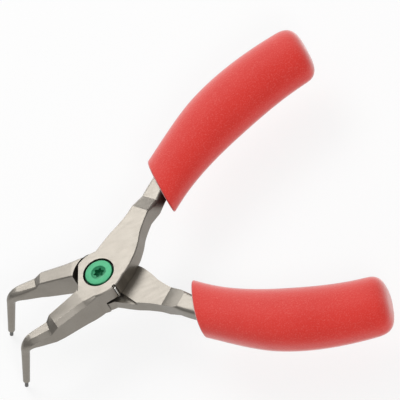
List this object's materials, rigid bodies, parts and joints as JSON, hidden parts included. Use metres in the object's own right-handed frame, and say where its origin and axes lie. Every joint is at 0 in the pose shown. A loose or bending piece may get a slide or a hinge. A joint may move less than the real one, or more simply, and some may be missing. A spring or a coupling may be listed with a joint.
{
  "type": "circlip pliers",
  "caption": "Internal circlip pliers with bent noses: crossing forged arms on a green drive screw, sprung open, with bowed red sleeve grips and fine tip pins.",
  "frame": {"origin": "middle of the pivot screw's drive face, on the pivot axis", "axes": "+Z along the pivot out of the screw head, +X along the centre line towards the handles, +Y towards the upper arm's handle; the tips point down"},
  "size_m": [0.1327, 0.1364, 0.029],
  "materials": {
    "satin_steel": "satin, bead-blasted and plated",
    "red_sleeve": "matte, fine grained",
    "pin_steel": "dark hardened",
    "green_screw": "satin coloured coat",
    "black_washer": "matte",
    "spring_wire": "bright drawn wire"
  },
  "bodies": {
    "lower_half": {"lower_arm": "satin_steel", "lower_grip": "red_sleeve", "lower_tip_pin": "pin_steel", "pivot_screw": "green_screw", "head_washer": "black_washer"},
    "upper_half": {"upper_arm": "satin_steel", "upper_grip": "red_sleeve", "upper_tip_pin": "pin_steel", "return_spring": "spring_wire"}
  },
  "joints": [
    {"name": "pivot", "type": "hinge", "parent": "lower_half", "child": "upper_half", "pos_m": [0, 0, 0], "axis": [0, 0, 1], "range_deg": [-29, 4], "stiffness_Nm_per_rad": 0.12, "deforming": ["return_spring"]}
  ]
}
